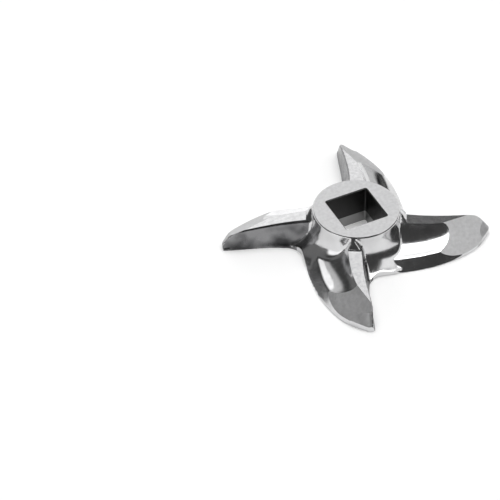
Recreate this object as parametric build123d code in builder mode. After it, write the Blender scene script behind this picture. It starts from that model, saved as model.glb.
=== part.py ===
import os

from build123d import *

# Meat grinder knife: one solid steel casting, four sickle arms round a hub with a square bore.
# Frame: millimetres, +Z up, origin on the hub's axis in the flat face that the knife rests on.
# The square bore's sides lie along X and Y.
# An arm is drawn pointing along +X: its steep cutting side faces +Y and its bulging back -Y.

ARMS = 4
FIRST_ARM_TURN = -27.5   # degrees from +X to the first arm, about +Z

# hub
HUB_RADIUS = 14.8
HUB_HEIGHT = 14.3
HUB_CHAMFER = 0.35
FLARE_RADIUS = 22.0      # foot of the hub, where it runs out into the webs between the arms
FLARE_EDGE = 1.2         # height of the foot's upright edge
FLARE_TOP = 12.4         # height where the flare leaves the hub's straight wall
FLARE_WAIST = 0.32       # where the flare's middle stands between wall and foot, as a share

# square bore for the drive shaft
BORE_SIDE = 15.5
BORE_CORNER = 0.6
BORE_CHAMFER = 0.3

# arm
RIDGE_HEIGHT = 10.1      # flat land on top of the arm, 20 mm out from the axis
RIDGE_FALL = 0.12        # how much lower the land gets for each millimetre further out
WEB_CORNER = 5.5         # radius in plan where one arm's cutting side meets the next one's back
TIP_CORNER = 0.9         # radius in plan at the corners of the tip
EDGE_TRIM = 0.35         # how far the walls are cut back upright along the resting face
TIP_FRONT = (45.1, 6.3)  # corner of the tip on the cutting side, seen in plan
TIP_BACK = (45.2, 4.2)   # corner of the tip on the back
TIP_SHOULDER = (43.6, 0.6)

# ground face on the outer end of each arm: a plane that falls off outwards and to the back
FACET_TOP = (36.6, 4.9, 8.8)  # where the plane meets the end of the land
FACET_TURN = -51.0       # the way the plane falls, in plan, from the arm's direction
FACET_SLOPE = 38.5


def land(distance):
    """Height of the land on top of the arm, at a distance out from the axis."""
    return RIDGE_HEIGHT - RIDGE_FALL * (distance - 20.0)


# Cross-sections of one arm before its end is ground, from inside the hub out past the tip.
# distance: where the section stands along the arm
# toe:      foot of the cutting side, in the resting face
# ridge:    the two edges of the flat land on top, cutting side first
# crest:    height of that land
# dip:      a point on the hollow top, as (sideways, height)
# brim:     top edge of the bulging back, as (sideways, height)
# heel:     foot of the back, in the resting face
SECTIONS = [
    {"distance": 4.5, "toe": 6.4, "ridge": (2.4, -3.4), "crest": land(4.5),
     "dip": (-9.0, 6.4), "brim": (-15.0, 4.4), "heel": -19.2},
    {"distance": 20.5, "toe": 4.7, "ridge": (2.3, -2.5), "crest": land(20.5),
     "dip": (-6.4, 5.2), "brim": (-11.6, 3.5), "heel": -15.2},
    {"distance": 28.0, "toe": 4.5, "ridge": (3.1, -1.1), "crest": land(28.0),
     "dip": (-4.9, 5.6), "brim": (-9.8, 4.0), "heel": -12.7},
    {"distance": 34.5, "toe": 5.1, "ridge": (4.3, 1.3), "crest": land(34.5),
     "dip": (-2.2, 6.4), "brim": (-7.2, 3.8), "heel": -9.2},
    {"distance": 40.5, "toe": 5.9, "ridge": (5.4, 3.6), "crest": land(40.5),
     "dip": (0.8, 5.0), "brim": (-3.4, 3.0), "heel": -4.3},
    {"distance": 46.0, "toe": 6.5, "ridge": (5.9, 4.9), "crest": 0.9,
     "dip": (3.6, 0.85), "brim": (2.2, 0.7), "heel": 1.9},
]

# one arm, along +X, with its feet a little wider than its outline
with BuildPart() as arm:
    for section in SECTIONS:
        toe_point = (section["toe"] + EDGE_TRIM, 0)
        heel_point = (section["heel"] - EDGE_TRIM, 0)
        ridge_front = (section["ridge"][0], section["crest"])
        ridge_back = (section["ridge"][1], section["crest"])
        with BuildSketch(Plane.YZ.offset(section["distance"])):
            with BuildLine():
                Polyline(heel_point, toe_point, ridge_front, ridge_back)
                ThreePointArc(ridge_back, section["dip"], section["brim"])
                Line(section["brim"], heel_point)
            make_face()
    loft()

    # the outer end ground flat
    ground = Vector(0, 0, 1).rotate(Axis.Y, FACET_SLOPE).rotate(Axis.Z, FACET_TURN)
    with Locations(Plane(FACET_TOP, z_dir=ground)):
        Box(4 * TIP_FRONT[0], 4 * TIP_FRONT[0], HUB_HEIGHT,
            align=(Align.CENTER, Align.CENTER, Align.MIN), mode=Mode.SUBTRACT)

# one arm's outline in plan, from the axis to the tip
inner_sections = SECTIONS[:-1]
cutting_edge = [(section["distance"], section["toe"]) for section in inner_sections]
back_edge = [(section["distance"], section["heel"]) for section in inner_sections]
with BuildSketch() as arm_outline:
    with BuildLine():
        Polyline(cutting_edge[0], (0, 0), back_edge[0])
        Spline(*cutting_edge, TIP_FRONT)
        Line(TIP_FRONT, TIP_BACK)
        Spline(*back_edge, TIP_SHOULDER, TIP_BACK)
    make_face()
    tip_corners = vertices().sort_by(Axis.X)[-2:]
    fillet(tip_corners, TIP_CORNER)

# the whole outline, with the corners between the arms rounded
with BuildSketch() as outline:
    with PolarLocations(0, ARMS, start_angle=FIRST_ARM_TURN):
        add(arm_outline.sketch)
    web_corners = vertices().sort_by_distance((0, 0))[:ARMS]
    fillet(web_corners, WEB_CORNER)

with BuildPart() as knife:
    # hub with its flared foot, turned about Z
    with BuildSketch(Plane.XZ):
        flare_middle = (
            HUB_RADIUS + (FLARE_RADIUS - HUB_RADIUS) * FLARE_WAIST,
            FLARE_EDGE + (FLARE_TOP - FLARE_EDGE) * FLARE_WAIST,
        )
        with BuildLine():
            Polyline((0, FLARE_EDGE), (0, 0), (FLARE_RADIUS, 0), (FLARE_RADIUS, FLARE_EDGE))
            ThreePointArc((FLARE_RADIUS, FLARE_EDGE), flare_middle, (HUB_RADIUS, FLARE_TOP))
            Polyline((HUB_RADIUS, FLARE_TOP), (HUB_RADIUS, HUB_HEIGHT), (0, HUB_HEIGHT), (0, FLARE_EDGE))
        make_face()
    revolve(axis=Axis.Z)
    hub_rim = faces().sort_by(Axis.Z)[-1].edges()
    chamfer(hub_rim, HUB_CHAMFER)

    # arms, trimmed upright to the outline
    with PolarLocations(0, ARMS, start_angle=FIRST_ARM_TURN):
        add(arm.part)
    extrude(outline.sketch, amount=HUB_HEIGHT, mode=Mode.INTERSECT)

    # square bore, right through
    with BuildSketch():
        RectangleRounded(BORE_SIDE, BORE_SIDE, BORE_CORNER)
    extrude(amount=HUB_HEIGHT, mode=Mode.SUBTRACT)
    bore_mouth = faces().sort_by(Axis.Z)[-1].inner_wires()[0].edges()
    chamfer(bore_mouth, BORE_CHAMFER)

knife.part.label = "knife"

os.makedirs("parts", exist_ok=True)
export_step(knife.part, "parts/knife.step")
print(f"knife: {len(knife.solids())} solid, {knife.part.volume / 1000:.1f} cm3")
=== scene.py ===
"""Looks of the meat grinder knife: one steel casting, polished, then ground flat on its working faces."""
import math

import bmesh
import bpy
import numpy as np
from mathutils import Matrix, Vector


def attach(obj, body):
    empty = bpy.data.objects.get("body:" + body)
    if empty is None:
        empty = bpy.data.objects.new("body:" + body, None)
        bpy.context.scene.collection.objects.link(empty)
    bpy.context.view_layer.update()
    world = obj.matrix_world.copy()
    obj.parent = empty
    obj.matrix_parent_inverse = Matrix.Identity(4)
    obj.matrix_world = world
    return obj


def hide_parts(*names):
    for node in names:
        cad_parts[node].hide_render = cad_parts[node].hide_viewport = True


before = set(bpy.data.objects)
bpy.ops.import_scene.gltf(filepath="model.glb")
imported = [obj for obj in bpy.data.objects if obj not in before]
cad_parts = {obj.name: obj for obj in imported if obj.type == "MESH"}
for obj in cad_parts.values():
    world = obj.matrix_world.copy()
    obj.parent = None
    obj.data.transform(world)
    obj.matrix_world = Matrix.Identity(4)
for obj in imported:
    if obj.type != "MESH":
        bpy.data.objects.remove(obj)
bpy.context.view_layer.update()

# Sizes are in millimetres and angles in degrees, unless the line says otherwise.
# An arm is drawn pointing along +X: its steep cutting side faces +Y and its bulging back -Y.
MM = 0.001               # one millimetre in the frame's metres
ARMS = 4
FIRST_ARM_TURN = -27.5   # from +X to the first arm

# hub and bore, as in the CAD
HUB_RADIUS = 14.8
HUB_HEIGHT = 14.3
HUB_CHAMFER = 0.35
FLARE_RADIUS = 22.0      # foot of the hub, where it runs out into the webs between the arms
FLARE_EDGE = 1.2         # height of the foot's upright edge
FLARE_TOP = 12.4         # height where the flare leaves the hub's straight wall
FLARE_WAIST = 0.32       # where the flare's middle stands between wall and foot, as a share
BORE_SIDE = 15.5
BORE_CORNER = 0.6
BORE_CHAMFER = 0.3
BORE_SHADE_STEP = 4.2        # below this height the bore's painted shade is lighter
SHADE_STEP_BLEND = 1.0       # half the height over which that change fades

# Cross-sections of one arm, as in the CAD:
# distance, toe, ridge front, ridge back, dip (y, z), brim (y, z), heel
SECTIONS = np.array([
    [4.5, 6.4, 2.4, -3.4, -9.0, 6.4, -15.0, 4.4, -19.2],
    [20.5, 4.7, 2.3, -2.5, -6.4, 5.2, -11.6, 3.5, -15.2],
    [28.0, 4.5, 3.1, -1.1, -4.9, 5.6, -9.8, 4.0, -12.7],
    [34.5, 5.1, 4.3, 1.3, -2.2, 6.4, -7.2, 3.8, -9.2],
    [40.5, 5.9, 5.4, 3.6, 0.8, 5.0, -3.4, 3.0, -4.3],
    [46.0, 6.5, 5.9, 4.9, 3.6, 0.85, 2.2, 0.7, 1.9],
])
RIDGE_HEIGHT = 10.1      # ground land on top of the arm, at RIDGE_PLACE out from the axis
RIDGE_PLACE = 20.0
RIDGE_FALL = 0.12        # how much lower the land gets for each millimetre further out
TIP_CREST = 0.9          # height of the last section
EDGE_TRIM = 0.35         # how far an arm's feet reach past the outline before they are trimmed

# what the rough casting has beyond the CAD's sections
LAND_START = 17.0        # where the ground land begins, outside the ramp up to the hub
LAND_END = 40.0          # past this the ground end has taken the land away
LAND_STOCK = 0.45        # what the grinding takes off the ridge
HUB_RAMP = 1.58          # rise, for each millimetre further in, of the ramp from land to hub
HUB_RAMP_TOP = 13.9      # height where the ramp ends
WALL_HOLLOW = 0.6        # how deep the cutting side is hollowed between its foot and the ridge
SHOULDER_DROP = 0.8      # the ridge's rounded corner on the cutting side starts this far down
SHOULDER_INSET = 0.45    # and ends this far in

# ground end of each arm: a plane that falls off outwards and to the back, as in the CAD
FACET_TOP = (36.6, 4.9, 8.8)
FACET_TURN = -51.0
FACET_SLOPE = 38.5
FACET_REACH = 20.0       # the plane cuts nothing nearer to the axis than this
FACET_LIFT = (0, 0, 0, 0.4)  # the ends are ground by hand: this much less comes off, arm by arm
TIP_GROUND = 40.5        # past this the rounded tip is ground too

# meshing and smoothing of the rough casting
ARM_STATIONS = 150
PROFILE_POINTS = 40      # along the longest stretches of an arm's cross-section
FLARE_POINTS = 24
CAST_SEGMENTS = 180
VOXEL = 0.34             # size of the mesh that arms and hub are fused on
SMOOTHING = 13
SMOOTHING_SHARE = 0.5

# tools that cut it
OVERCUT = 1.0            # how far a tool reaches past what it cuts
BEYOND = 60.0            # further out than any arm
TURNED_SEGMENTS = 240
TURNED_CONE = 1.5        # how far the hub's chamfer is carried on past the hub's wall
MOUTH_CORNER_POINTS = 8
LAND_BLOCK_HALF = 8.0    # half the width of the blocks that grind the lands
LAND_BLOCK_HEIGHT = 6.0
FACET_BLOCK_BACK = -25.0
FACET_BLOCK_FRONT = 12.0
FACET_BLOCK_TOP = 40.0
WELD = 1e-6              # in metres: points nearer than this are one

# how faces are told apart; the limits on a face's normal have no unit
ON_PLANE = 0.02          # a face this near to a ground plane lies in it
LEVEL = 0.999            # hub top and resting face: level at least this far
LAND_LEVEL = 0.98        # land: level at least this far
LAND_MARGIN = 0.1        # how far inside LAND_START a face still counts as land
FACET_LEVEL = 0.7        # ground end: level at least this far
TIP_LEVEL = 0.3          # rounded tip: level at least this far
TIP_SIDEWAYS = 0.3       # and turned to the cutting side no more than this
BORE_LEVEL = 0.8         # bore: level no more than this
WALL_LEVEL = 0.6         # cutting side: level no more than this
WALL_SIDEWAYS = 0.75     # and turned to its own side at least this far
WALL_START = 16.0
WALL_REACH = 9.0         # it lies between the arm's middle line and this
SHARP_EDGE = 28.0        # edges that turn by more than this stay crisp

# finishes and painted shades, in the order of their material slots
POLISHED, GROUND, LAND, BORE, PAINTED_SHADE_WALL = range(5)

# darkest and lightest colour of each finish and painted shade
POLISHED_COLOURS = (0.60, 0.60, 0.605), (0.68, 0.68, 0.685)
GROUND_COLOURS = (0.50, 0.50, 0.505), (0.57, 0.57, 0.575)
LAND_COLOURS = (0.50, 0.50, 0.505), (0.58, 0.58, 0.585)
# painted shade: the cutting side's steel is painted dark where it mirrors the dim room
PAINTED_WALL_SHADE_COLOURS = (0.06, 0.06, 0.062), (0.26, 0.26, 0.265)
# painted shade in the bore: dark walls, lighter near the foot
LIGHTER_PAINTED_SHADE_BELOW = (0.30, 0.30, 0.30)
BORE_PAINTED_SHADE_COLOUR = (0.04, 0.04, 0.04)

# least and most roughness of each finish
POLISHED_ROUGHNESS = 0.10, 0.20
GROUND_ROUGHNESS = 0.46, 0.58
LAND_ROUGHNESS = 0.20, 0.27
CUTTING_ROUGHNESS = 0.20, 0.30
BORE_ROUGHNESS = 0.35, 0.5
NOISE_SPREAD = 0.3, 0.7  # where nearly all of a noise lies

GRIT = 0.25              # width of the scratches that grinding leaves
GRIT_LENGTH = 20         # how many times longer they are
GRIT_TURN = 35.0         # the way they run, from +Y
STREAK = 0.3             # width of the duller and brighter streaks among them
STREAK_LENGTH = 14

# camera, as in the photograph: above the front, knife right of the middle
CAMERA_DISTANCE = 1500.0
CAMERA_ELEVATION = math.radians(42.48)
CAMERA_TURN = math.radians(-27.06)
CAMERA_ROLL = math.radians(0.377)
CAMERA_TARGET = (-34.314, 11.459, 0.0)
CAMERA_CLIP = 0.01, 20   # in metres
SENSOR = 36.0
FOCAL_PIXELS = 4436.0    # focal length, when the picture is PICTURE_PIXELS wide
PICTURE_PIXELS = 500.0

# light and floor
ROOM_LIGHT = 0.06
PANEL_EDGE = 0.1         # soft edge of the overhead panels, for a height of 1
HORIZON = 0.01           # no overhead panel is seen lower than this, so nothing is divided by 0
FLOOR_HALF = 5           # in metres
FLOOR_GAP = 0.02
FLOOR_COLOUR = 0.9
FLOOR_GLOW = 0.14        # only the camera and mirrored rays see it


def land(distance):
    """Height of the land on top of an arm, at a distance out from the axis."""
    return RIDGE_HEIGHT - RIDGE_FALL * (distance - RIDGE_PLACE)


def facet_height(x, y, lift):
    """Height of the plane on the end of an arm."""
    slope = math.tan(math.radians(FACET_SLOPE))
    turn = math.radians(FACET_TURN)
    along = (x - FACET_TOP[0]) * math.cos(turn) + (y - FACET_TOP[1]) * math.sin(turn)
    return FACET_TOP[2] + lift - slope * along


def arm_turns():
    """The way each arm points, in radians from +X."""
    return [math.radians(FIRST_ARM_TURN + k * 360 / ARMS) for k in range(ARMS)]


def cubic(knots, values, places):
    """Natural cubic spline through the values at the knots, read at the given places."""
    gaps = np.diff(knots)
    rises = np.diff(values, axis=0) / gaps[:, None]
    count = len(knots)
    system = np.zeros((count, count))
    system[0, 0] = 1
    system[-1, -1] = 1
    loads = np.zeros(values.shape)
    for i in range(1, count - 1):
        system[i, i - 1:i + 2] = gaps[i - 1], 2 * (gaps[i - 1] + gaps[i]), gaps[i]
        loads[i] = 3 * (rises[i] - rises[i - 1])
    bends = np.linalg.solve(system, loads)
    near = np.clip(np.searchsorted(knots, places) - 1, 0, count - 2)
    far = near + 1
    gap = gaps[near][:, None]
    past = (places - knots[near])[:, None]
    slope = rises[near] - gap * (2 * bends[near] + bends[far]) / 3
    twist = (bends[far] - bends[near]) / (3 * gap)
    return values[near] + slope * past + bends[near] * past ** 2 + twist * past ** 3


def arc_through(start, middle, end, count):
    """Points along the circle from start through middle to end."""
    (ax, ay), (bx, by), (cx, cy) = start, middle, end
    a, b, c = (x**2 + y**2 for x, y in (start, middle, end))
    scale = 2 * (ax * (by - cy) + bx * (cy - ay) + cx * (ay - by))
    centre_x = (a * (by - cy) + b * (cy - ay) + c * (ay - by)) / scale
    centre_y = (a * (cx - bx) + b * (ax - cx) + c * (bx - ax)) / scale
    radius = math.hypot(ax - centre_x, ay - centre_y)
    first, via, last = (math.atan2(y - centre_y, x - centre_x) for x, y in (start, middle, end))
    turn = (last - first) % (2 * math.pi)
    if (via - first) % (2 * math.pi) > turn:
        turn -= 2 * math.pi
    angles = first + turn * np.linspace(0, 1, count)
    return np.stack([centre_x + radius * np.cos(angles), centre_y + radius * np.sin(angles)], -1)


def line_points(start, end, count):
    """Points along a line, without its end."""
    return np.linspace(start, end, count, endpoint=False)


def arm_ring(distance, section):
    """Closed cross-section of a rough arm, at a distance out from the axis."""
    toe, front, back, dip_y, dip_z, brim_y, brim_z, heel, crest = section
    stock = 0.0
    if distance < LAND_END:
        crest = land(distance)
        stock = LAND_STOCK
    ramp = HUB_RAMP * max(LAND_START - distance, 0)
    stock = min(stock + ramp, max(HUB_RAMP_TOP - crest, stock))
    toe_point = (toe + EDGE_TRIM, 0)
    heel_point = (heel - EDGE_TRIM, 0)

    # cutting side: a hollowed wall and a rounded shoulder
    drop = min(SHOULDER_DROP, crest / 2)
    wall_top = np.array([toe + (front - toe) * (1 - drop / crest), crest - drop])
    wall_middle = ((toe_point[0] + wall_top[0]) / 2 - WALL_HOLLOW, wall_top[1] / 2)
    shoulder = np.array([front - SHOULDER_INSET * drop / SHOULDER_DROP, crest])
    top_front = shoulder + (shoulder - wall_top) / drop * stock

    # the hollow behind the ridge, carried on upwards past it by the stock
    hollow = arc_through((back, crest), (dip_y, dip_z), (brim_y, brim_z), PROFILE_POINTS)
    first_step = hollow[0] - hollow[1]
    top_back = hollow[0] + first_step / first_step[1] * stock

    outline = np.concatenate([
        line_points(heel_point, toe_point, PROFILE_POINTS),
        arc_through(toe_point, wall_middle, wall_top, PROFILE_POINTS // 2)[:-1],
        line_points(wall_top, top_front, PROFILE_POINTS // 8),
        line_points(top_front, top_back, PROFILE_POINTS // 4),
        line_points(top_back, hollow[0], PROFILE_POINTS // 8),
        hollow[:-1],
        line_points((brim_y, brim_z), heel_point, PROFILE_POINTS // 4),
    ])
    return [(distance, y, z) for y, z in outline]


def arm_rings():
    """Cross-sections all along one rough arm, before it is ground."""
    knots = SECTIONS[:, 0]
    crests = np.append(land(knots[:-1]), TIP_CREST)
    stations = np.linspace(knots[0], knots[-1], ARM_STATIONS)
    sections = cubic(knots, np.column_stack([SECTIONS[:, 1:], crests]), stations)
    return [arm_ring(distance, section) for distance, section in zip(stations, sections)]


def hub_profile():
    """Half the rough hub's outline, from below the axis round to above it."""
    waist = (HUB_RADIUS + (FLARE_RADIUS - HUB_RADIUS) * FLARE_WAIST,
             FLARE_EDGE + (FLARE_TOP - FLARE_EDGE) * FLARE_WAIST)
    flare = arc_through((FLARE_RADIUS, FLARE_EDGE), waist, (HUB_RADIUS, FLARE_TOP), FLARE_POINTS)
    above = HUB_HEIGHT + 2 * OVERCUT
    return [(0, -OVERCUT), (FLARE_RADIUS, -OVERCUT), *flare, (HUB_RADIUS, above), (0, above)]


def rounded_square(half, corner, height):
    """Points round a square with rounded corners."""
    inset = half - corner
    points = []
    for k, (side_x, side_y) in enumerate([(1, 1), (-1, 1), (-1, -1), (1, -1)]):
        for i in range(MOUTH_CORNER_POINTS):
            angle = math.pi / 2 * (k + i / (MOUTH_CORNER_POINTS - 1))
            x = side_x * inset + corner * math.cos(angle)
            y = side_y * inset + corner * math.sin(angle)
            points.append((x, y, height))
    return points


def new_object(name, bm):
    """Turn a bmesh into an object, with its faces looking outwards."""
    mesh = bpy.data.meshes.new(name)
    bmesh.ops.recalc_face_normals(bm, faces=bm.faces)
    bm.to_mesh(mesh)
    bm.free()
    obj = bpy.data.objects.new(name, mesh)
    bpy.context.scene.collection.objects.link(obj)
    return obj


def add_tube(bm, rings, turn=0.0):
    """Close the rings into one solid and turn it about Z."""
    spin = Matrix.Rotation(turn, 4, "Z") @ Matrix.Scale(MM, 4)
    loops = [[bm.verts.new(spin @ Vector(point)) for point in ring] for ring in rings]
    for near, far in zip(loops, loops[1:]):
        for i in range(len(near)):
            j = (i + 1) % len(near)
            bm.faces.new((near[i], near[j], far[j], far[i]))
    bm.faces.new(loops[0][::-1])
    bm.faces.new(loops[-1])


def add_lathe(bm, profile, segments):
    """Turn a profile of (radius, height) about Z; both its ends lie on the axis."""
    rings = []
    for i in range(segments):
        angle = 2 * math.pi * i / segments
        ring = []
        for radius, height in profile[1:-1]:
            x = radius * math.cos(angle)
            y = radius * math.sin(angle)
            ring.append(bm.verts.new((x * MM, y * MM, height * MM)))
        rings.append(ring)
    low = bm.verts.new((0, 0, profile[0][1] * MM))
    high = bm.verts.new((0, 0, profile[-1][1] * MM))
    for i in range(segments):
        near, far = rings[i], rings[(i + 1) % segments]
        bm.faces.new((low, far[0], near[0]))
        for j in range(len(near) - 1):
            bm.faces.new((near[j], far[j], far[j + 1], near[j + 1]))
        bm.faces.new((high, near[-1], far[-1]))


def use_modifier(obj, kind, **settings):
    """Add a modifier, set it and apply it."""
    modifier = obj.modifiers.new(kind, kind)
    for key, value in settings.items():
        setattr(modifier, key, value)
    bpy.context.view_layer.objects.active = obj
    bpy.ops.object.modifier_apply(modifier=modifier.name)


def cut(obj, bm, operation):
    """Cut the object with a tool, which is then thrown away."""
    tool = new_object("tool", bm)
    use_modifier(obj, "BOOLEAN", object=tool, operation=operation, solver="EXACT")
    mesh = tool.data
    bpy.data.objects.remove(tool)
    bpy.data.meshes.remove(mesh)


def outline_tool():
    """The CAD's flat resting face, drawn out upright: the knife's outline with the bore through it."""
    bm = bmesh.new()
    bm.from_mesh(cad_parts["knife"].data)
    bmesh.ops.remove_doubles(bm, verts=bm.verts, dist=WELD)
    others = [face for face in bm.faces if any(abs(vertex.co.z) > WELD for vertex in face.verts)]
    bmesh.ops.delete(bm, geom=others, context="FACES")
    for vertex in bm.verts:
        vertex.co.z = -OVERCUT * MM
    drawn_out = bmesh.ops.extrude_face_region(bm, geom=bm.faces[:])["geom"]
    for element in drawn_out:
        if isinstance(element, bmesh.types.BMVert):
            element.co.z = (HUB_HEIGHT + OVERCUT) * MM
    return bm


def turned_tool():
    """What turning leaves: the flat resting face, the flat hub top and its chamfer."""
    bm = bmesh.new()
    rim = HUB_HEIGHT - HUB_CHAMFER - TURNED_CONE
    profile = [
        (0, 0),
        (BEYOND, 0),
        (BEYOND, rim),
        (HUB_RADIUS + TURNED_CONE, rim),
        (HUB_RADIUS - HUB_CHAMFER, HUB_HEIGHT),
        (0, HUB_HEIGHT),
    ]
    add_lathe(bm, profile, TURNED_SEGMENTS)
    return bm


def land_tool():
    """Blocks that grind the lands on top of the arms."""
    bm = bmesh.new()
    half = LAND_BLOCK_HALF
    for turn in arm_turns():
        ends = []
        for x in (LAND_START, BEYOND):
            low = land(x)
            high = low + LAND_BLOCK_HEIGHT
            ends.append([(x, -half, low), (x, half, low), (x, half, high), (x, -half, high)])
        add_tube(bm, ends, turn)
    return bm


def facet_tool():
    """Blocks that grind the outer ends of the arms."""
    bm = bmesh.new()
    back, front, high = FACET_BLOCK_BACK, FACET_BLOCK_FRONT, FACET_BLOCK_TOP
    for turn, lift in zip(arm_turns(), FACET_LIFT):
        ends = []
        for x in (FACET_REACH, BEYOND):
            low_back = facet_height(x, back, lift)
            low_front = facet_height(x, front, lift)
            ends.append([(x, back, low_back), (x, front, low_front), (x, front, high), (x, back, high)])
        add_tube(bm, ends, turn)
    return bm


def mouth_tool():
    """The chamfer round the bore's mouth."""
    bm = bmesh.new()
    half = BORE_SIDE / 2
    low = HUB_HEIGHT - BORE_CHAMFER
    grow = 2 * BORE_CHAMFER
    start = rounded_square(half, BORE_CORNER, low)
    end = rounded_square(half + grow, BORE_CORNER + grow, low + grow)
    add_tube(bm, [start, end])
    return bm


def make_knife():
    """Fuse rough arms and hub, smooth them, then cut them as the real casting is ground and turned."""
    bm = bmesh.new()
    rings = arm_rings()
    for turn in arm_turns():
        add_tube(bm, rings, turn)
    add_lathe(bm, hub_profile(), CAST_SEGMENTS)
    knife = new_object("knife_casting", bm)
    use_modifier(knife, "REMESH", mode="VOXEL", voxel_size=VOXEL * MM, use_smooth_shade=True)
    use_modifier(knife, "SMOOTH", factor=SMOOTHING_SHARE, iterations=SMOOTHING)
    cut(knife, land_tool(), "DIFFERENCE")
    cut(knife, facet_tool(), "DIFFERENCE")
    cut(knife, outline_tool(), "INTERSECT")
    cut(knife, turned_tool(), "INTERSECT")
    cut(knife, mouth_tool(), "DIFFERENCE")
    return knife


# The next functions look at one face. A view is the face's centre and normal as an arm sees them,
# with that arm pointing along +X; there is one view for each arm.

def is_bore(centre, normal):
    """The bore's walls and its chamfer, which are painted dark as shade."""
    reach = BORE_SIDE / 2 + BORE_CHAMFER
    return abs(normal.z) < BORE_LEVEL and max(abs(centre.x), abs(centre.y)) < reach


def is_turned(centre, normal):
    """The hub's top and the resting face."""
    at_end = centre.z < ON_PLANE or centre.z > HUB_HEIGHT - ON_PLANE
    return at_end and abs(normal.z) > LEVEL


def is_facet(views):
    """The plane on the end of an arm."""
    for (centre, normal), lift in zip(views, FACET_LIFT):
        if centre.x > FACET_REACH and normal.z > FACET_LEVEL:
            if abs(centre.z - facet_height(centre.x, centre.y, lift)) < ON_PLANE:
                return True
    return False


def is_tip(views):
    """The rounded tip of an arm, apart from its cutting side."""
    for centre, normal in views:
        if centre.x > TIP_GROUND and normal.z > TIP_LEVEL and normal.y < TIP_SIDEWAYS:
            return True
    return False


def is_land(views):
    """The flat land on top of an arm."""
    for centre, normal in views:
        if centre.x > LAND_START - LAND_MARGIN and abs(centre.y) < LAND_BLOCK_HALF and normal.z >= LAND_LEVEL:
            if abs(centre.z - land(centre.x)) < ON_PLANE:
                return True
    return False


def is_cutting_side(views):
    """The steep wall along the front of an arm, which is painted dark as shade."""
    for centre, normal in views:
        if centre.x > WALL_START and 0 < centre.y < WALL_REACH:
            if normal.y > WALL_SIDEWAYS and normal.z < WALL_LEVEL:
                return True
    return False


def choose_finish(face, unturns):
    """The face's finish or painted shade, and whether it is part of a flat ground face."""
    centre, normal = face.center / MM, face.normal
    views = [(unturn @ face.center / MM, unturn @ normal) for unturn in unturns]
    if is_bore(centre, normal):
        return BORE, False
    if is_turned(centre, normal) or is_facet(views):
        return GROUND, True
    if is_tip(views):
        return GROUND, False
    if is_land(views):
        return LAND, True
    if is_cutting_side(views):
        return PAINTED_SHADE_WALL, False
    return POLISHED, False


def finish_faces(knife):
    """Give each face its finish or painted shade, and keep the edges of the flat ground faces crisp."""
    mesh = knife.data
    unturns = [Matrix.Rotation(-turn, 3, "Z") for turn in arm_turns()]
    flats = []
    for face in mesh.polygons:
        finish, flat = choose_finish(face, unturns)
        face.material_index = finish
        face.use_smooth = True
        flats.append(flat)
    mesh.set_sharp_from_angle(angle=math.radians(SHARP_EDGE))
    bm = bmesh.new()
    bm.from_mesh(mesh)
    for edge in bm.edges:
        if len({flats[face.index] for face in edge.link_faces}) > 1:
            edge.smooth = False
    bm.to_mesh(mesh)
    bm.free()


class Nodes:
    """Short ways to build a node tree. A value is a number, a vector or another node's output."""

    def __init__(self, tree):
        self.tree = tree

    def feed(self, socket, value):
        """Link the socket to a node's output, or set it."""
        if isinstance(value, bpy.types.NodeSocket):
            self.tree.links.new(value, socket)
        else:
            socket.default_value = value

    def compute(self, operation, a, b=0.0):
        """One step of arithmetic; what has a single operand leaves b alone."""
        node = self.tree.nodes.new("ShaderNodeMath")
        node.operation = operation
        self.feed(node.inputs[0], a)
        self.feed(node.inputs[1], b)
        return node.outputs["Value"]

    def map_range(self, value, start, end, result=(0.0, 1.0), curve="LINEAR"):
        """Map start to end onto the result's two ends, and hold it beyond them."""
        node = self.tree.nodes.new("ShaderNodeMapRange")
        node.interpolation_type = curve
        self.feed(node.inputs["Value"], value)
        self.feed(node.inputs["From Min"], start)
        self.feed(node.inputs["From Max"], end)
        self.feed(node.inputs["To Min"], result[0])
        self.feed(node.inputs["To Max"], result[1])
        return node.outputs["Result"]


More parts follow.
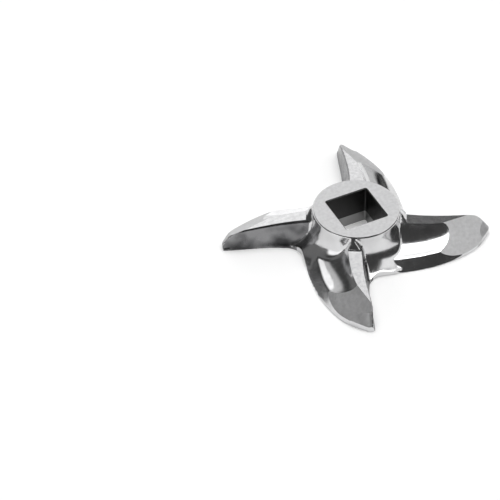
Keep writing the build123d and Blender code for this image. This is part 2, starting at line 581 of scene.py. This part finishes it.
class Finish(Nodes):
    """A metal finish, or a painted shade on metal, put together from noise: colour, roughness and relief."""

    def __init__(self, name):
        self.material = bpy.data.materials.new(name)
        self.material.use_nodes = True
        super().__init__(self.material.node_tree)
        self.bsdf = self.tree.nodes["Principled BSDF"]
        self.feed(self.bsdf.inputs["Metallic"], 1)
        self.place = self.tree.nodes.new("ShaderNodeTexCoord").outputs["Object"]
        self.relief = None

    def noise(self, size, stretch=(1, 1, 1), turn=0.0, detail=3.0, wander=0.0):
        """Noise whose features are about size mm, drawn out by stretch and turned about Z."""
        mapping = self.tree.nodes.new("ShaderNodeMapping")
        mapping.vector_type = "TEXTURE"
        self.feed(mapping.inputs["Vector"], self.place)
        self.feed(mapping.inputs["Rotation"], (0, 0, math.radians(turn)))
        self.feed(mapping.inputs["Scale"], [size * MM * share for share in stretch])
        node = self.tree.nodes.new("ShaderNodeTexNoise")
        self.feed(node.inputs["Vector"], mapping.outputs["Vector"])
        self.feed(node.inputs["Scale"], 1)
        self.feed(node.inputs["Detail"], detail)
        self.feed(node.inputs["Distortion"], wander)
        return node.outputs["Fac"]

    def above(self, height, blend):
        """0 below the given height in mm, 1 above it, with a blend to both sides."""
        split = self.tree.nodes.new("ShaderNodeSeparateXYZ")
        self.feed(split.inputs["Vector"], self.place)
        return self.map_range(split.outputs["Z"], (height - blend) * MM, (height + blend) * MM)

    def colour(self, mix, dark, light, start=0.35, end=0.65):
        """Run from one colour to the other while mix goes from start to end."""
        node = self.tree.nodes.new("ShaderNodeValToRGB")
        first, last = node.color_ramp.elements
        first.position, last.position = start, end
        first.color, last.color = (*dark, 1), (*light, 1)
        self.feed(node.inputs["Fac"], mix)
        self.feed(self.bsdf.inputs["Base Color"], node.outputs["Color"])

    def roughness(self, mix, limits):
        """Run from the least to the most roughness with a noise."""
        self.feed(self.bsdf.inputs["Roughness"], self.map_range(mix, *NOISE_SPREAD, limits))

    def bump(self, mix, height):
        """Relief of the given height in mm, on top of the relief so far."""
        node = self.tree.nodes.new("ShaderNodeBump")
        self.feed(node.inputs["Distance"], height * MM)
        self.feed(node.inputs["Height"], mix)
        if self.relief:
            self.feed(node.inputs["Normal"], self.relief)
        self.relief = node.outputs["Normal"]
        self.feed(self.bsdf.inputs["Normal"], self.relief)

    def casting(self):
        """Slow waves and fine pits, as polishing leaves them on a casting."""
        self.bump(self.noise(size=5, detail=1), height=0.03)
        self.bump(self.noise(size=0.5, detail=3), height=0.0012)

    def scratches(self, limits, depth):
        """Parallel scratches, as a grinding wheel leaves them."""
        streaks = self.noise(STREAK, stretch=(1, STREAK_LENGTH, 1), turn=GRIT_TURN)
        grit = self.noise(GRIT, stretch=(1, GRIT_LENGTH, 1), turn=GRIT_TURN, wander=0.2)
        self.roughness(streaks, limits)
        self.bump(grit, height=depth)


def polished_finish():
    finish = Finish("steel_polished")
    finish.colour(finish.noise(size=6), *POLISHED_COLOURS)
    finish.roughness(finish.noise(size=2.5, detail=5), POLISHED_ROUGHNESS)
    finish.casting()
    return finish.material


def ground_finish():
    finish = Finish("steel_ground")
    finish.colour(finish.noise(size=1.2, detail=6), *GROUND_COLOURS)
    finish.scratches(GROUND_ROUGHNESS, depth=0.004)
    return finish.material


def land_finish():
    finish = Finish("steel_land")
    finish.colour(finish.noise(size=1.2, detail=6), *LAND_COLOURS)
    finish.scratches(LAND_ROUGHNESS, depth=0.0003)
    return finish.material


# painted shade: the bore is painted dark, and lighter near its foot
def bore_painted_shade():
    finish = Finish("steel_painted_shade_bore")
    above_shade_step = finish.above(BORE_SHADE_STEP, SHADE_STEP_BLEND)
    finish.colour(above_shade_step, LIGHTER_PAINTED_SHADE_BELOW, BORE_PAINTED_SHADE_COLOUR, start=0.45, end=0.55)
    finish.roughness(finish.noise(size=0.3, stretch=(1, 1, 12)), BORE_ROUGHNESS)
    finish.bump(finish.noise(size=0.3, stretch=(1, 1, 25)), height=0.01)
    return finish.material


# painted shade: the cutting side's steel is painted dark, standing in for the dim room it mirrors
def painted_wall_shade():
    finish = Finish("steel_painted_shade_wall")
    finish.colour(finish.noise(size=9, detail=2), *PAINTED_WALL_SHADE_COLOURS, start=0.38, end=0.62)
    finish.roughness(finish.noise(size=2.5, detail=5), CUTTING_ROUGHNESS)
    finish.casting()
    return finish.material


def make_camera():
    data = bpy.data.cameras.new("camera")
    camera = bpy.data.objects.new("camera", data)
    bpy.context.scene.collection.objects.link(camera)
    data.sensor_width = SENSOR
    data.lens = FOCAL_PIXELS / PICTURE_PIXELS * data.sensor_width
    ahead = Vector((-math.sin(CAMERA_TURN) * math.cos(CAMERA_ELEVATION),
                    math.cos(CAMERA_TURN) * math.cos(CAMERA_ELEVATION),
                    -math.sin(CAMERA_ELEVATION)))
    level = Vector((math.cos(CAMERA_TURN), math.sin(CAMERA_TURN), 0))
    steep = level.cross(ahead)
    right = level * math.cos(CAMERA_ROLL) + steep * math.sin(CAMERA_ROLL)
    up = steep * math.cos(CAMERA_ROLL) - level * math.sin(CAMERA_ROLL)
    place = Vector(CAMERA_TARGET) - ahead * CAMERA_DISTANCE
    facing = Matrix((right, up, -ahead)).transposed().to_4x4()
    camera.matrix_world = Matrix.Translation(place * MM) @ facing
    data.clip_start, data.clip_end = CAMERA_CLIP
    bpy.context.scene.camera = camera


class Studio(Nodes):
    """The world: a dim room with soft light panels, laid out to the right, to the back and up."""

    def __init__(self, room):
        world = bpy.data.worlds.new("studio")
        world.use_nodes = True
        bpy.context.scene.world = world
        super().__init__(world.node_tree)
        self.look = self.tree.nodes.new("ShaderNodeTexCoord").outputs["Generated"]
        right = self.share_of((math.cos(CAMERA_TURN), math.sin(CAMERA_TURN), 0))
        back = self.share_of((-math.sin(CAMERA_TURN), math.cos(CAMERA_TURN), 0))
        up = self.share_of((0, 0, 1))
        lift = self.compute("MAXIMUM", up, HORIZON)
        self.across = self.compute("DIVIDE", right, lift)
        self.along = self.compute("DIVIDE", back, lift)
        self.bearing = self.compute("ARCTAN2", right, back)
        self.height = self.compute("ARCSINE", up)
        self.total = room

    def share_of(self, axis):
        """How much of the direction looked at lies along the axis."""
        node = self.tree.nodes.new("ShaderNodeVectorMath")
        node.operation = "DOT_PRODUCT"
        self.feed(node.inputs[0], self.look)
        self.feed(node.inputs[1], axis)
        return node.outputs["Value"]

    def between(self, value, limits, edge):
        """1 between the limits and 0 outside, with soft edges inside them."""
        low, high = limits
        rising = self.map_range(value, low, low + edge, curve="SMOOTHSTEP")
        falling = self.map_range(value, high - edge, high, curve="SMOOTHSTEP")
        return self.compute("MULTIPLY", rising, self.compute("SUBTRACT", 1, falling))

    def patch(self, bearings, heights, edge):
        """A patch of the room's walls, in degrees; a bearing of 0 is the back, right positive."""
        soft = math.radians(edge)
        around = self.between(self.bearing, [math.radians(angle) for angle in bearings], soft)
        upright = self.between(self.height, [math.radians(angle) for angle in heights], soft)
        return self.compute("MULTIPLY", around, upright)

    def light(self, mask, strength):
        """Let a panel shine where it is brighter than what is there."""
        panel = self.compute("MULTIPLY", mask, strength)
        self.total = self.compute("MAXIMUM", self.total, panel)

    def overhead(self, across, along, strength):
        """A panel that hangs level overhead; its sides are given for a height of 1."""
        sideways = self.between(self.across, across, PANEL_EDGE)
        lengthways = self.between(self.along, along, PANEL_EDGE)
        self.light(self.compute("MULTIPLY", sideways, lengthways), strength)

    def wall(self, bearings, heights, edge, strength):
        """An upright panel."""
        self.light(self.patch(bearings, heights, edge), strength)

    def card(self, bearings, heights, edge, darkness):
        """A dark card in front of what is lit so far."""
        shade = self.compute("MULTIPLY", self.patch(bearings, heights, edge), darkness)
        self.total = self.compute("MULTIPLY", self.total, self.compute("SUBTRACT", 1, shade))

    def finish(self):
        self.feed(self.tree.nodes["Background"].inputs["Color"], self.total)


def make_studio():
    """Panels placed so that the polished faces mirror them as in the photograph."""
    studio = Studio(ROOM_LIGHT)
    # overhead, the bright one in front
    studio.overhead((-0.5, 0.62), (-0.32, 0.5), strength=3.8)
    studio.overhead((-0.55, 0.62), (0.3, 1.3), strength=1.35)
    # behind the knife, from the middle to the left and to the right
    studio.wall((-29, 14), (-5, 50), edge=5, strength=1.5)
    studio.wall((-46, -20), (-5, 50), edge=8, strength=0.7)
    studio.wall((5, 62), (-5, 32), edge=8, strength=0.7)
    # right, left, and front left
    studio.wall((62, 128), (22, 60), edge=8, strength=1.1)
    studio.wall((-120, -50), (-5, 48), edge=10, strength=0.18)
    studio.wall((-165, -115), (-5, 18), edge=6, strength=1.5)
    # behind on the right and high up, where the right-hand arm's land mirrors it
    studio.card((0, 66), (30, 57), edge=4, darkness=0.95)
    studio.finish()


def make_floor():
    """A white floor that takes the knife's shadow, and glows a little for the camera and for mirrors."""
    bm = bmesh.new()
    bmesh.ops.create_grid(bm, x_segments=1, y_segments=1, size=FLOOR_HALF)
    floor = new_object("floor", bm)
    floor.location.z = -FLOOR_GAP * MM
    material = bpy.data.materials.new("floor")
    material.use_nodes = True
    nodes = Nodes(material.node_tree)
    bsdf = nodes.tree.nodes["Principled BSDF"]
    nodes.feed(bsdf.inputs["Base Color"], (FLOOR_COLOUR, FLOOR_COLOUR, FLOOR_COLOUR, 1))
    nodes.feed(bsdf.inputs["Roughness"], 1)
    nodes.feed(bsdf.inputs["Specular IOR Level"], 0)
    nodes.feed(bsdf.inputs["Emission Color"], (1, 1, 1, 1))
    path = nodes.tree.nodes.new("ShaderNodeLightPath")
    seen = path.outputs["Is Camera Ray"]
    for ray in ("Is Glossy Ray", "Is Transmission Ray"):
        seen = nodes.compute("MAXIMUM", seen, path.outputs[ray])
    nodes.feed(bsdf.inputs["Emission Strength"], nodes.compute("MULTIPLY", seen, FLOOR_GLOW))
    floor.data.materials.append(material)


knife = make_knife()
knife.data.materials.clear()
for make_finish_or_shade in (polished_finish, ground_finish, land_finish, bore_painted_shade, painted_wall_shade):
    knife.data.materials.append(make_finish_or_shade())
finish_faces(knife)
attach(knife, "root")
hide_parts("knife")
make_camera()
make_studio()
make_floor()
bpy.context.scene.view_settings.view_transform = "Standard"
